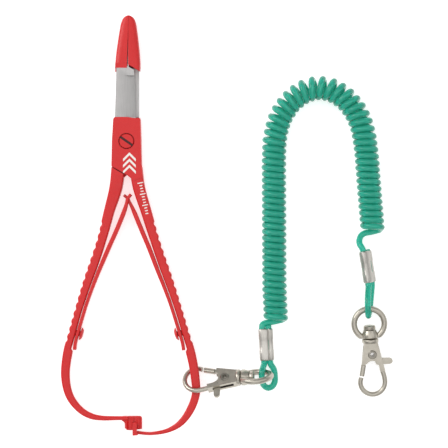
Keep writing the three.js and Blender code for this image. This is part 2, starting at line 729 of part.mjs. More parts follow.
function lanyard() {
  const group = new THREE.Group();
  const cordRadius = cordDiameter / 2;
  const cord = (name, points, steps) => part(name, shape(solid(tube(points, cordRadius, steps, 8))), teal);
  group.add(
    ferrule('near_ferrule', nearFerrule),
    ferrule('far_ferrule', farFerrule),
    part('cord_coil', shape(solid(tube(coilAxis, coilOuter / 2, 44, 12))), teal),
    cord('near_cord_tail', nearTail, 8),
    cord('near_cord_loop', nearLoop, 26),
    cord('far_cord_tail', farTail, 10),
    cord('far_cord_loop', farLoop, 26),
  );
  return group;
}

// ---------------------------------------------------------------- assembly

// The near clasp is hooked round the right bow: its loop is rolled, so that one side of the wire passes
// over the bow and the other under it. The loop's low side and the ring's edge both rest on the surface
// that the pliers lie on.
const nearLoopCentre = point(29.8, -101.25, midZ + 0.15);
const nearLoopFoot = 1.139;       // height of the wire's centre line on the loop's low side
const nearRingHeight = 7.657;     // height of the ring's centre
const slope = (rise, length) => THREE.MathUtils.radToDeg(Math.asin(rise / length));
const nearPose = {
  incline: slope(nearRingHeight - nearLoopCentre.z, hookReach),
  roll: -slope(nearLoopCentre.z - nearLoopFoot, hookLoop),
  heading: -86.5,
};
const farLoopCentre = point(104.7, -102.55, 1.9);

const group = new THREE.Group();
group.add(
  pliers(),
  clasp('near', nearLoopCentre, nearPose, -77),
  clasp('far', farLoopCentre, { incline: 5.5, roll: 0, heading: 3.8 }, 0),
  lanyard(),
);

export default group;
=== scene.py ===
# Squeeze-lock fishing pliers with a coiled lanyard, seen from straight above. The scene is in metres, in the
# CAD's frame. Shapes are worked out in millimetres and scaled when they are finished.
import math

import bmesh
import bpy
from mathutils import Matrix, Vector


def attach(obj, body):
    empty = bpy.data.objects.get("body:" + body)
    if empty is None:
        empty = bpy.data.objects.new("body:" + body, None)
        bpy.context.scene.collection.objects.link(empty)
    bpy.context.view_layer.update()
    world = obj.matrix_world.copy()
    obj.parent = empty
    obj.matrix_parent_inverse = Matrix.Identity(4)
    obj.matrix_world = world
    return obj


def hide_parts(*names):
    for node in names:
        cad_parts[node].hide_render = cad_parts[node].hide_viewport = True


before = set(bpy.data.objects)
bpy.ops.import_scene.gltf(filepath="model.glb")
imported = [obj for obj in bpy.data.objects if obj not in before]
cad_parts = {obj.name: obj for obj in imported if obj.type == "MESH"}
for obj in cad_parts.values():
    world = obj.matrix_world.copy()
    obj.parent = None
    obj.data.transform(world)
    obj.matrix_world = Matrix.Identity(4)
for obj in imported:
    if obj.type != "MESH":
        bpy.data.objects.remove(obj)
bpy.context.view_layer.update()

MM = 0.001

# ---------------------------------------------------------------- camera

VIEW_CENTRE = (0.0413, -0.0351)
VIEW_WIDTH = 0.1905
VIEW_HEIGHT = 0.75
SUBJECT_LEVEL = 0.004
SENSOR = 36

camera_data = bpy.data.cameras.new("camera")
camera_data.sensor_width = SENSOR
camera_data.lens = SENSOR * (VIEW_HEIGHT - SUBJECT_LEVEL) / VIEW_WIDTH
camera = bpy.data.objects.new("camera", camera_data)
camera.location = (VIEW_CENTRE[0], VIEW_CENTRE[1], VIEW_HEIGHT)
bpy.context.scene.collection.objects.link(camera)
bpy.context.scene.camera = camera
bpy.context.scene.view_settings.view_transform = "Standard"


# ---------------------------------------------------------------- curves

def centripetal(points, t):
    """A point of the smooth curve through `points`, at t from 0 to 1."""
    place = t * (len(points) - 1)
    i = min(int(place), len(points) - 2)
    w = place - i
    p1, p2 = points[i], points[i + 1]
    p0 = points[i - 1] if i > 0 else p1 + (p1 - p2)
    p3 = points[i + 2] if i + 2 < len(points) else p2 + (p2 - p1)
    d0, d1, d2 = [max((b - a).length ** 0.5, 1e-9) for a, b in ((p0, p1), (p1, p2), (p2, p3))]
    m1 = ((p1 - p0) / d0 - (p2 - p0) / (d0 + d1) + (p2 - p1) / d1) * d1
    m2 = ((p2 - p1) / d1 - (p3 - p1) / (d1 + d2) + (p3 - p2) / d2) * d1
    c2 = (p2 - p1) * 3 - m1 * 2 - m2
    c3 = (p1 - p2) * 2 + m1 + m2
    return p1 + m1 * w + c2 * w * w + c3 * w ** 3


def even(points, step):
    """Points a fixed distance apart along the smooth curve through `points`."""
    fine = [centripetal(points, i / 2000) for i in range(2001)]
    total = sum((b - a).length for a, b in zip(fine, fine[1:]))
    count = max(2, round(total / step))
    out, run, want = [fine[0]], 0.0, total / count
    for a, b in zip(fine, fine[1:]):
        run += (b - a).length
        if run >= want and len(out) < count:
            out.append(b)
            want += total / count
    return out + [fine[-1]]


def lerp(a, b, t):
    return a + (b - a) * t


def smooth(t):
    """A soft step from 0 to 1, flat at both ends."""
    t = min(max(t, 0), 1)
    return t * t * (3 - 2 * t)


# ---------------------------------------------------------------- cord

CORD_D = 2.65
COIL_R = 3.98
COIL_Z = 5.4
CLOSED_PITCH = 2.68
TURN_POINTS = 16
WAVINESS = 0.012
BEND_REACH = 15
SHORTEST_STEP = 0.2
coil_axis = [Vector((x, y, COIL_Z)) for x, y in [
    (63.3, -75.1), (62.75, -63), (62.6, -42), (62.5, -20.6), (62.55, -5), (63.1, 2.3), (65.6, 10.8),
    (70.6, 17.7), (77.4, 21.9), (84.4, 22.4), (91, 19.5), (96.4, 13.8), (99.8, 6.4), (101.6, -3.6),
    (102.6, -16), (103.5, -27), (104.3, -36.8)]]
near_tail = [Vector(p) for p in [
    (57.45, -80.2, 2), (57.5, -79.1, 2), (57.6, -78.2, 1.85), (58.5, -77.5, 1.6), (60.2, -77.1, 1.5),
    (62.5, -76.75, 1.47), (64.6, -76.3, 1.75), (66.2, -75.85, 2.9)]]
near_loop = [Vector(p) for p in [
    (58.43, -94, 2), (58.4, -94.8, 2.2), (58, -95.9, 3.9), (57.5, -97.4, 5.8), (57.3, -98.9, 6.1),
    (57.4, -100.7, 5.3), (57.7, -102.6, 3.3), (58.7, -104.3, 1.8), (60.2, -105, 1.45),
    (61.8, -104.4, 1.45), (62.9, -102.6, 1.45), (63, -100, 1.45), (62.5, -97, 1.5),
    (61.2, -94.9, 1.85), (60.92, -93.8, 2)]]
far_tail = [Vector(p) for p in [
    (107.5, -37.6, 3), (105.7, -38.1, 1.75), (103.5, -38.6, 1.47), (101.4, -39, 1.5), (99.7, -40.2, 1.6),
    (98.95, -42.2, 2.2), (99.2, -43.9, 3.1), (99.85, -45, 3.7), (100.35, -46, 3.87)]]
far_loop = [Vector(p) for p in [
    (102.68, -60.75, 3.88), (102.75, -61.6, 4.05), (102.6, -63, 5), (102.3, -65.5, 6.7),
    (102.15, -68.2, 7.9), (102.2, -71, 8.1), (102.4, -73.2, 7), (102.65, -74.1, 4.9),
    (103, -73.3, 2.7), (103.5, -71, 1.6), (103.85, -67.5, 1.45), (104.2, -63.5, 1.7),
    (104.35, -61.4, 1.95), (104.32, -60.3, 2.03)]]
near_stub = [Vector((60.15, -78.3, 2.05)), Vector((60.2, -79.4, 2)), Vector((60.4, -84, 2))]
far_stub = [Vector((103.7, -55, 2.03)), Vector((102.35, -46.9, 2.03)), Vector((102.15, -45.9, 2.05))]


def helix():
    """The coiled stretch: closed turns along the axis, opened on the outside of the arch."""
    axis = even(coil_axis, 0.1)
    tangents = [(axis[min(i + 4, len(axis) - 1)] - axis[max(i - 4, 0)]).normalized()
                for i in range(len(axis))]
    phases = [0.0]
    for i in range(1, len(axis)):
        a, b = max(i - BEND_REACH, 0), min(i + BEND_REACH, len(axis) - 1)
        bend = tangents[a].angle(tangents[b], 0) / (axis[b] - axis[a]).length
        pitch = CLOSED_PITCH / (1 - bend * COIL_R)
        phases.append(phases[-1] + 2 * math.pi * (axis[i] - axis[i - 1]).length / pitch)
    turns = round(phases[-1] / (2 * math.pi)) - 0.5
    scale = turns * 2 * math.pi / phases[-1]
    points, want, step = [], 0.0, 2 * math.pi / TURN_POINTS
    for i in range(1, len(axis)):
        a, b = phases[i - 1] * scale, phases[i] * scale
        while want <= b + 1e-6:
            w = (want - a) / (b - a)
            centre = axis[i - 1].lerp(axis[i], w)
            along = tangents[i - 1].lerp(tangents[i], w).normalized()
            side = Vector((along.y, -along.x, 0))
            spread = COIL_R * (1 + WAVINESS * math.sin(0.37 * want) * math.sin(0.11 * want + 1))
            points.append(centre + side * spread * math.cos(want) + Vector((0, 0, spread * math.sin(want))))
            want += step
    return points


cord_points = (
    even(near_stub, 1.0) + even([near_stub[-1], Vector((60.7, -90, 2)), near_loop[-1]], 2.0)[1:]
    + even(near_loop[::-1], 0.6)[1:] + even([near_loop[0], Vector((58, -88, 2)), near_tail[0]], 2.0)[1:]
    + even(near_tail, 0.6)[1:] + helix() + even(far_tail, 0.6)
    + even([far_tail[-1], Vector((101.5, -53, 3.88)), far_loop[0]], 2.0)[1:] + even(far_loop, 0.6)[1:]
    + even([far_loop[-1], Vector((104, -58, 2.03)), far_stub[0]], 2.0)[1:] + even(far_stub, 1.0)[1:])
cord_points = [p for p, before in zip(cord_points, [None] + cord_points)
               if before is None or (p - before).length > SHORTEST_STEP]

cord_curve = bpy.data.curves.new("lanyard_cord", "CURVE")
cord_curve.dimensions = "3D"
cord_curve.bevel_depth = CORD_D / 2 * MM
cord_curve.bevel_resolution = 5
cord_curve.use_fill_caps = True
spline = cord_curve.splines.new("POLY")
spline.points.add(len(cord_points) - 1)
for p, q in zip(spline.points, cord_points):
    p.co = (q.x * MM, q.y * MM, q.z * MM, 1)
spline.use_smooth = True
cord = bpy.data.objects.new("lanyard_cord", cord_curve)
bpy.context.scene.collection.objects.link(cord)


# ---------------------------------------------------------------- mesh helpers, in millimetres

def new_object(name, verts, faces):
    mesh = bpy.data.meshes.new(name)
    mesh.from_pydata([tuple(v) for v in verts], [], faces)
    mesh.validate()
    obj = bpy.data.objects.new(name, mesh)
    bpy.context.scene.collection.objects.link(obj)
    fix_normals(obj)
    return obj


def fix_normals(obj):
    bm = bmesh.new()
    bm.from_mesh(obj.data)
    bmesh.ops.remove_doubles(bm, verts=bm.verts, dist=1e-5)
    bmesh.ops.recalc_face_normals(bm, faces=bm.faces)
    bm.to_mesh(obj.data)
    bm.free()


def loft(name, rings):
    """A closed solid through rings of equally many points."""
    n = len(rings[0])
    verts = [p for ring in rings for p in ring]
    faces = []
    for i in range(len(rings) - 1):
        for j in range(n):
            k = (j + 1) % n
            faces.append((i * n + j, i * n + k, (i + 1) * n + k, (i + 1) * n + j))
    faces.append(tuple(range(n)))
    faces.append(tuple((len(rings) - 1) * n + j for j in range(n)))
    return new_object(name, verts, faces)


def prism(name, outline, low, high):
    """An outline in the XY plane between two heights."""
    return loft(name, [[(x, y, z) for x, y in outline] for z in (low, high)])


def lathe(name, profile, segments=48):
    """(radius, y) rows turned about Y."""
    around = [2 * math.pi * k / segments for k in range(segments)]
    return loft(name, [[(r * math.cos(a), y, r * math.sin(a)) for a in around] for r, y in profile])


def tube(name, path, radius, sides=20):
    """A round bar along a path."""
    rings = []
    for i, p in enumerate(path):
        along = (path[min(i + 1, len(path) - 1)] - path[max(i - 1, 0)]).normalized()
        u = Vector((0, 0, 1)).cross(along)
        u = u.normalized() if u.length > 1e-4 else Vector((1, 0, 0))
        v = along.cross(u)
        rings.append([p + u * radius * math.cos(a) + v * radius * math.sin(a) for a in
                      [2 * math.pi * k / sides for k in range(sides)]])
    return loft(name, rings)


def combine(a, b, how):
    """Boolean of two objects; the second is used up."""
    modifier = a.modifiers.new("cut", "BOOLEAN")
    modifier.operation = how
    modifier.solver = "EXACT"
    modifier.object = b
    bpy.context.view_layer.update()
    mesh = bpy.data.meshes.new_from_object(a.evaluated_get(bpy.context.evaluated_depsgraph_get()))
    a.modifiers.clear()
    old = a.data
    a.data = mesh
    bpy.data.meshes.remove(old)
    bpy.data.objects.remove(b)
    return a


def union(first, *others):
    for other in others:
        combine(first, other, "UNION")
    return first


def cut(first, *others):
    for other in others:
        combine(first, other, "DIFFERENCE")
    return first


def move(obj, matrix):
    obj.data.transform(matrix)
    return obj


def finish_mesh(obj, name, bevel, angle=35, segments=3):
    """Scale to metres, soften the edges, and shade."""
    obj.name = name
    obj.data.name = name
    obj.data.transform(Matrix.Scale(MM, 4))
    if bevel:
        modifier = obj.modifiers.new("edges", "BEVEL")
        modifier.width = bevel * MM
        modifier.segments = segments
        modifier.limit_method = "ANGLE"
        modifier.angle_limit = math.radians(angle)
        modifier.use_clamp_overlap = True
        modifier.harden_normals = False
    obj.data.shade_smooth()
    obj.data.set_sharp_from_angle(angle=math.radians(40))
    return obj


# ---------------------------------------------------------------- materials

def linear(r, g, b):
    return tuple((c / 255 / 12.92) if c / 255 <= 0.04045 else ((c / 255 + 0.055) / 1.055) ** 2.4
                 for c in (r, g, b)) + (1,)


class Shader:
    """A small builder for one node material."""

    def __init__(self, name):
        self.material = bpy.data.materials.new(name)
        self.material.use_nodes = True
        self.tree = self.material.node_tree
        self.main = self.tree.nodes["Principled BSDF"]
        self.place = self.tree.nodes.new("ShaderNodeTexCoord").outputs["Object"]

    def node(self, kind, **inputs):
        made = self.tree.nodes.new(kind)
        for key, value in inputs.items():
            self.set(made, key, value)
        return made

    def set(self, node, key, value):
        socket = node.inputs[int(key[1:])] if key[0] == "_" else node.inputs[key]
        if isinstance(value, bpy.types.NodeSocket):
            self.tree.links.new(value, socket)
        else:
            socket.default_value = value

    def maths(self, operation, a, b=0.0):
        made = self.tree.nodes.new("ShaderNodeMath")
        made.operation = operation
        for i, value in enumerate((a, b)):
            self.set(made, f"_{i}", value)
        return made.outputs[0]

    def noise(self, scale, detail=3.0, roughness=0.5, stretch=None):
        place = self.place
        if stretch:
            mapping = self.tree.nodes.new("ShaderNodeMapping")
            mapping.inputs["Scale"].default_value = stretch
            self.tree.links.new(self.place, mapping.inputs["Vector"])
            place = mapping.outputs[0]
        return self.node("ShaderNodeTexNoise", Vector=place, Scale=scale, Detail=detail,
                         Roughness=roughness).outputs["Fac"]

    def ramp(self, value, low, high, start=0.0, end=1.0):
        made = self.tree.nodes.new("ShaderNodeMapRange")
        for key, v in (("Value", value), ("From Min", start), ("From Max", end),
                       ("To Min", low), ("To Max", high)):
            self.set(made, key, v)
        return made.outputs[0]

    def mix(self, factor, a, b):
        made = self.tree.nodes.new("ShaderNodeMix")
        made.data_type = "RGBA"
        self.set(made, "_0", factor)
        self.set(made, "_6", a)
        self.set(made, "_7", b)
        return made.outputs[2]

    def bump(self, height, strength, distance):
        made = self.node("ShaderNodeBump", Height=height, Strength=strength, Distance=distance)
        self.tree.links.new(made.outputs[0], self.main.inputs["Normal"])

    def xyz(self):
        return self.node("ShaderNodeSeparateXYZ", Vector=self.place).outputs


def red_coat(name, printed=False, slot_shade_levels=None):
    """Satin powder coat. Given two slot heights, all below the first is painted dark as the shade in a
    screw's slot, and all above the second has the coat's own colour."""
    s = Shader(name)
    cloud = s.noise(90, 4)
    speck = s.noise(2600, 2)
    colour = s.mix(cloud, linear(206, 24, 27), linear(216, 34, 34))
    colour = s.mix(s.ramp(speck, 0, 0.25, 0.35, 0.75), colour, linear(168, 16, 18))
    rough = s.ramp(s.noise(700, 3), 0.30, 0.46, 0.3, 0.7)
    if printed:
        mask = print_mask(s)
        colour = s.mix(mask, colour, linear(238, 236, 230))
        rough = s.maths("MAXIMUM", rough, s.maths("MULTIPLY", mask, 0.55))
    if slot_shade_levels:
        # Painted shade: below the slot floor's height the coat turns dark red, as shadow in the screw's slot.
        # The screw's shank and rear end, being lower still, get the same painted shade.
        depth = s.ramp(s.xyz()[2], 0.0, 1.0, *slot_shade_levels)
        colour = s.mix(depth, linear(70, 8, 10), colour)
    s.set(s.main, "Base Color", colour)
    s.set(s.main, "Roughness", rough)
    s.main.inputs["Metallic"].default_value = 0.0
    s.main.inputs["Specular IOR Level"].default_value = 0.4
    s.main.inputs["Coat Weight"].default_value = 0.06
    s.main.inputs["Coat Roughness"].default_value = 0.2
    grain = s.maths("ADD", s.noise(1500, 3), s.maths("MULTIPLY", s.noise(420, 2), 1.5))
    s.bump(grain, 0.25, 0.00006)
    return s.material


# The printed marks, in metres. The chevrons' start and middle are below the pivot, and WHITE is the printed
# share of each pitch.
PRINT_ABOVE = 0.0061
CHEVRON_X, CHEVRON_HALF = 0.0013, 0.0027
CHEVRON_START, CHEVRON_PITCH, CHEVRON_WHITE = 0.0060, 0.0026, 0.46
CHEVRONS_MIDDLE, CHEVRONS_HALF = 0.0082, 0.0037
RULE_X, RULE_Y, RULE_HALF = 0.00585, -0.0175, 0.0072
RULE_LEAN = math.atan2(2.9, 13.6)
TICK_PITCH, TICK_WHITE, TICK_HALF = 0.0012, 0.36, 0.00062
LONG_PITCH, LONG_WHITE, LONG_EXTRA = 0.0048, 0.12, 0.0006


def print_mask(s):
    """Plain white marks on the front face: three chevrons below the screw, then a ruled scale."""
    m = s.maths
    x, y, z = s.xyz()
    front = m("GREATER_THAN", z, PRINT_ABOVE)
    # chevrons on the lap plate
    aside = m("ABSOLUTE", m("SUBTRACT", x, CHEVRON_X))
    u = m("ADD", aside, y)
    wave = m("FRACT", m("DIVIDE", m("ADD", u, CHEVRON_START), CHEVRON_PITCH))
    chevron = m("LESS_THAN", wave, CHEVRON_WHITE)
    inside = m("LESS_THAN", aside, CHEVRON_HALF)
    band = m("LESS_THAN", m("ABSOLUTE", m("ADD", u, CHEVRONS_MIDDLE)), CHEVRONS_HALF)
    chevrons = m("MULTIPLY", m("MULTIPLY", chevron, inside), band)
    # scale along the handle: distance down the handle's middle line, and off it
    dx = m("SUBTRACT", x, RULE_X)
    dy = m("ADD", y, -RULE_Y)
    sine, cosine = math.sin(RULE_LEAN), math.cos(RULE_LEAN)
    down = m("SUBTRACT", m("MULTIPLY", dx, sine), m("MULTIPLY", dy, cosine))
    off = m("ADD", m("MULTIPLY", dx, cosine), m("MULTIPLY", dy, sine))
    tick = m("LESS_THAN", m("FRACT", m("DIVIDE", down, TICK_PITCH)), TICK_WHITE)
    long = m("LESS_THAN", m("FRACT", m("DIVIDE", down, LONG_PITCH)), LONG_WHITE)
    reach = m("ADD", TICK_HALF, m("MULTIPLY", long, LONG_EXTRA))
    close = m("LESS_THAN", m("ABSOLUTE", off), reach)
    span = m("LESS_THAN", m("ABSOLUTE", m("SUBTRACT", down, RULE_HALF)), RULE_HALF)
    scale = m("MULTIPLY", m("MULTIPLY", tick, close), span)
    return m("MULTIPLY", front, m("MAXIMUM", chevrons, scale))


def ground_steel(name, along, colour=(172, 171, 170), rough=(0.24, 0.42)):
    """Bare steel with grinding lines along one axis."""
    s = Shader(name)
    stretch = [1.0, 1.0, 1.0]
    stretch[along] = 0.03
    lines = s.noise(5200, 2, 0.6, stretch)
    cloud = s.noise(130, 3)
    light = linear(*colour)
    dark = linear(*[c * 0.86 for c in colour])
    s.set(s.main, "Base Color", s.mix(s.maths("MULTIPLY", lines, cloud), light, dark))
    s.main.inputs["Metallic"].default_value = 1.0
    s.set(s.main, "Roughness", s.ramp(lines, rough[0], rough[1], 0.3, 0.7))
    s.bump(lines, 0.25, 0.00002)
    return s.material


def nickel(name, tone=1.0):
    """Satin nickel plate; `tone` scales how light it is."""
    s = Shader(name)
    cloud = s.noise(260, 4)
    pits = s.noise(2400, 3)
    colour = s.mix(cloud, linear(*[c * tone for c in (188, 183, 172)]),
                   linear(*[c * tone for c in (172, 166, 154)]))
    s.set(s.main, "Base Color", colour)
    s.main.inputs["Metallic"].default_value = 1.0
    s.set(s.main, "Roughness", s.ramp(s.noise(600, 3), 0.27, 0.4, 0.3, 0.7))
    s.bump(s.maths("ADD", cloud, s.maths("MULTIPLY", pits, 0.3)), 0.08, 0.00004)
    return s.material


def pressed_aluminium(name):
    s = Shader(name)
    cloud = s.noise(160, 4)
    lines = s.noise(3200, 2, 0.6, (1.0, 0.08, 1.0))
    s.set(s.main, "Base Color", s.mix(cloud, linear(204, 201, 195), linear(180, 176, 169)))
    s.main.inputs["Metallic"].default_value = 1.0
    s.set(s.main, "Roughness", s.ramp(lines, 0.28, 0.5, 0.3, 0.7))
    s.bump(s.maths("ADD", cloud, s.maths("MULTIPLY", lines, 0.3)), 0.15, 0.00006)
    return s.material


def teal_plastic(name):
    """Tinted polyurethane, half clear."""
    s = Shader(name)
    colour = s.mix(s.noise(120, 3), linear(62, 202, 176), linear(44, 188, 160))
    s.set(s.main, "Base Color", colour)
    s.main.inputs["Metallic"].default_value = 0.0
    s.main.inputs["Transmission Weight"].default_value = 0.5
    s.main.inputs["IOR"].default_value = 1.4
    s.set(s.main, "Roughness", s.ramp(s.noise(500, 3), 0.05, 0.14, 0.3, 0.7))
    s.bump(s.noise(300, 3), 0.1, 0.00006)
    return s.material


def paper_floor(name):
    """White paper with a faint glow of its own, for a white ground."""
    s = Shader(name)
    s.set(s.main, "Base Color", s.mix(s.noise(30, 3), linear(228, 228, 228), linear(225, 225, 225)))
    s.main.inputs["Roughness"].default_value = 0.85
    s.main.inputs["Specular IOR Level"].default_value = 0.2
    s.main.inputs["Emission Color"].default_value = (1, 1, 1, 1)
    s.main.inputs["Emission Strength"].default_value = 0.6
    s.bump(s.noise(900, 2), 0.05, 0.00005)
    return s.material


red = red_coat("red_coat")
red_printed = red_coat("red_coat_printed", printed=True)
# Heights for the pivot screw's painted slot shade: dark at the slot floor, the coat's own colour from the lip
# up.
SLOT_FLOOR, SLOT_LIP = 0.0072, 0.0077
red_screw_slot_shaded = red_coat("red_coat_screw_slot_shade", slot_shade_levels=(SLOT_FLOOR, SLOT_LIP))
blade_steel = ground_steel("blade_steel", 1, (188, 186, 185), (0.42, 0.58))
spring_steel = ground_steel("gate_spring_steel", 0, (150, 148, 146))
clasp_nickel = nickel("clasp_nickel")
rivet_nickel = nickel("rivet_nickel", 0.8)
crimp_metal = pressed_aluminium("crimp_aluminium")
teal = teal_plastic("teal_cord")
cord_curve.materials.append(teal)

# ---------------------------------------------------------------- pliers' plan, in millimetres

GAP = 0.3
STEP_GAP = 0.75
BOX = 8.0
MID = BOX / 2
REACH = 53.4
TIP = 4.6
LEAN = 0.0144
JAW_ROOT = 32.6
CROTCH = 14.15
SLOPE = 0.57
BLADE_HALF = 5.05
LAP_HALF = 6.1
BLADE_TOP = 31.0
BLADE_FOOT = 9.6
EDGE_TOP = 2.8
EDGE_FOOT = 3.7
PITCH = 3.27
SCALLOP_TOP = -35.1
SCALLOPS = 16
SCALLOP_DEPTH = 0.5
SEAM_TIP, SEAM_ROOT = 0.04, 0.26
JAW_PARTING = 0.87
JAW_STEP = STEP_GAP * 1.15
BLADE_DROP = 0.1
BEVEL_WIDE, BEVEL_DEEP = 4.6, 3
PIVOT_HOLE_R, SEAT_R, SEAT_DEEP = 2.5, 3.4, 1.8
SPRING_SCREW_Y, SPRING_DRILL_R = -80.4, 1.5
LEAF_SEAT, LEAF_SEAT_END = 0.85, -88.1

# Each row is a station down the handle: x and y of its outer edge, then its width and its depth.
right_handle = [
    (6.5, -10, 5.4, 8), (7.65, -18.9, 5.1, 7.4), (10.4, -29.1, 4.5, 5.4), (14.05, -41.9, 3.95, 4.4),
    (20.1, -59.8, 3.95, 4.4), (26.3, -80.2, 3.95, 4.4), (29.3, -90.4, 3.95, 3.7),
    (30.95, -100.6, 3.7, 2.6), (31.1, -107.5, 3.5, 2.6), (28.5, -114.8, 3.4, 2.6),
    (23.5, -120.9, 2.7, 2.6), (17.5, -123.8, 1.8, 2.6), (9.9, -124.8, 1.25, 2.6), (3.3, -124.2, 1.25, 2.6)]
left_handle = [
    (6.3, -10, 5.6, 8), (7.2, -18.9, 5.4, 7.4), (9.6, -29.1, 4.4, 5.4), (12.8, -41.9, 3.95, 4.4),
    (18.75, -59.8, 3.95, 4.4), (24.6, -80.2, 3.95, 4.4), (27.2, -90.4, 3.95, 3.7),
    (27.9, -100.6, 3.7, 2.6), (25.7, -109.1, 3.3, 2.6), (20.75, -115.1, 2.8, 2.6),
    (15.65, -117.9, 2.5, 2.6), (10.5, -118.6, 2, 2.6), (3.7, -118.45, 1.65, 2.6), (-0.5, -118.4, 1.6, 2.6)]


def nose(hand, out, y):
    """A point of the nose, which leans a little to the right above the pivot."""
    return (LEAN * max(y, 0) + hand * out, y)


def scallop(y):
    """How deep the grip's scallops cut at y."""
    turns = (SCALLOP_TOP - y) / PITCH
    if turns < -0.5 or turns > SCALLOPS - 0.5:
        return 0.0
    return SCALLOP_DEPTH * (0.5 + 0.5 * math.cos(2 * math.pi * turns)) ** 1.5


def leaf_seat(y):
    """How much thinner the handle is behind its leaf spring."""
    return 0.0 if y < LEAF_SEAT_END else LEAF_SEAT * smooth((-y - 50) / 25)


def station(rows, t):
    """A handle's outer point, inward direction, width and depth, at t from 0 to 1."""
    points = [Vector((r[0], r[1], 0)) for r in rows]
    outer = centripetal(points, t)
    along = (centripetal(points, min(t + 1e-4, 1)) - centripetal(points, max(t - 1e-4, 0))).normalized()
    place = t * (len(rows) - 1)
    i = min(int(place), len(rows) - 2)
    width, depth = [lerp(rows[i][c], rows[i + 1][c], place - i) for c in (2, 3)]
    return outer, Vector((along.y, -along.x, 0)), width, depth


def station_at(rows, y):
    """The station whose outer point is at y."""
    low, high = 0.0, 1.0
    for _ in range(40):
        middle = (low + high) / 2
        if station(rows, middle)[0].y > y:
            low = middle
        else:
            high = middle
    return station(rows, low)


def beside(hand, rows, y, off):
    """A point `off` away from the handle's inner face, toward the pliers' middle."""
    outer, inward, width, _ = station_at(rows, y)
    p = outer + inward * (width - leaf_seat(y) + off)
    return Vector((hand * p.x, p.y, 0))


def rounded_section(low_u, high_u, half, radius, steps=4):
    """Corner-rounded rectangle from low_u to high_u, and -half to half."""
    r = min(radius, 0.42 * (high_u - low_u), 0.42 * 2 * half)
    centres = [(high_u - r, half - r, 0), (low_u + r, half - r, 90),
               (low_u + r, -half + r, 180), (high_u - r, -half + r, 270)]
    out = []
    for u, z, start in centres:
        for k in range(steps + 1):
            a = math.radians(start + 90 * k / steps)
            out.append((u + r * math.cos(a), z + r * math.sin(a)))
    return out


def handle(name, hand, rows):
    """One handle and its bow, with rings closer together along the scallops."""
    rings, t = [], 0.0
    while True:
        outer, inward, width, depth = station(rows, min(t, 1.0))
        section = rounded_section(scallop(outer.y), width - leaf_seat(outer.y), depth / 2, 0.75)
        rings.append([(hand * (outer.x + inward.x * u), outer.y + inward.y * u, MID + z) for u, z in section])
        if t >= 1:
            break
        speed = (station(rows, min(t + 0.001, 1))[0] - outer).length / 0.001 if t < 0.999 else 50
        grip = SCALLOP_TOP - PITCH * SCALLOPS < outer.y < SCALLOP_TOP + PITCH
        t = min(t + (PITCH / 10 if grip else 1.0) / max(speed, 20), 1.0)
    return loft(name, rings)


jaw_edge = [Vector((o, s * REACH, 0)) for o, s in [
    (5.3, 0.5), (5.35, 0.6), (5, 0.7), (4.45, 0.79), (3.75, 0.885), (3.2, 0.94), (2.3, 0.98),
    (1.2, 0.996), (0.5, 1)]]


def jaw(name, hand):
    """One jaw, from its seam to its outer edge. Toward the tip its section is rounder and its seam closer."""
    rings = []
    for i in range(61):
        p = centripetal(jaw_edge, i / 60)
        share = min(max((p.y - JAW_ROOT) / (REACH - JAW_ROOT), 0), 1)
        half = lerp(BOX, TIP, share) / 2
        parting = min(max((REACH * JAW_PARTING - p.y) / (REACH * JAW_PARTING - JAW_ROOT), 0), 1)
        seam = lerp(SEAM_TIP, SEAM_ROOT, parting)
        power = lerp(0.34, 0.72, share)
        ring = [(seam, -half)]
        for k in range(1, 16):
            a = math.radians(-90 + 180 * k / 16)
            u = abs(math.cos(a)) ** power
            v = math.copysign(abs(math.sin(a)) ** power, math.sin(a))
            ring.append((lerp(seam, p.x, u), half * v))
        ring.append((seam, half))
        rings.append([(LEAN * p.y - hand * x, p.y, MID + z) for x, z in ring])
    return loft(name, rings)


def lap_levels(hand):
    """The heights between which one half's lap plate lies."""
    return (MID + GAP / 2, BOX) if hand > 0 else (0.0, MID - GAP / 2)


def lap_pocket(name, hand):
    """The room cut in one half for the other half's lap plate."""
    wide, lower = 14, CROTCH + STEP_GAP * 0.7
    outline = [(-wide, JAW_ROOT - SLOPE * wide), (0, JAW_ROOT), (wide, JAW_ROOT),
               (wide, SLOPE * wide - lower), (0, -lower), (-wide, -lower)]
    points = [nose(hand, o, y) for o, y in outline]
    return prism(name, points, -2, MID + GAP / 2) if hand > 0 else prism(name, points, MID - GAP / 2, BOX + 2)


def lap_plate(name, hand):
    corner = LAP_HALF + 0.25
    outline = [
        (-BLADE_HALF, BLADE_FOOT + 0.6), (-LAP_HALF + 0.4, BLADE_FOOT - 0.2), (-LAP_HALF, 1),
        (-corner, SLOPE * corner - CROTCH), (0, -CROTCH), (1, -CROTCH - 0.9), (3, -CROTCH - 2.6),
        (corner + 0.5, -CROTCH - 1), (corner, -CROTCH + 4), (LAP_HALF, 1), (LAP_HALF - 0.4, BLADE_FOOT),
        (3, BLADE_FOOT + 0.2), (0, BLADE_FOOT + 0.6)]
    return prism(name, [nose(hand, o, y) for o, y in outline], *lap_levels(hand))


def blade(name, hand):
    """The bare steel stretch, a little below the coated faces, with its ground bevel."""
    low, high = lap_levels(hand)
    low, high = (low, high - BLADE_DROP) if hand > 0 else (low + BLADE_DROP, high)
    upper = JAW_ROOT - JAW_STEP
    outline = [(-BLADE_HALF + 0.08, BLADE_FOOT + 0.5), (EDGE_FOOT, BLADE_FOOT + 0.1),
               (EDGE_TOP, upper - SLOPE * EDGE_TOP), (SEAM_ROOT, upper - SLOPE * SEAM_ROOT),
               (-1, upper), (-BLADE_HALF + 0.4, upper - 0.2)]
    body = prism(name, [nose(hand, o, y) for o, y in outline], low, high)
    face = BOX if hand > 0 else 0
    start, reach = EDGE_FOOT - BEVEL_WIDE, EDGE_FOOT + 2
    deep = BEVEL_DEEP / BEVEL_WIDE * (reach - start)
    wedge = [(start, 0), (reach, 0.2), (reach, -deep)]
    ring = [[(hand * o + LEAN * BLADE_TOP / 2, y, face + hand * z) for o, z in wedge]
            for y in (BLADE_FOOT + 0.5, BLADE_TOP - 3.3)]
    return cut(body, loft("wedge", ring))


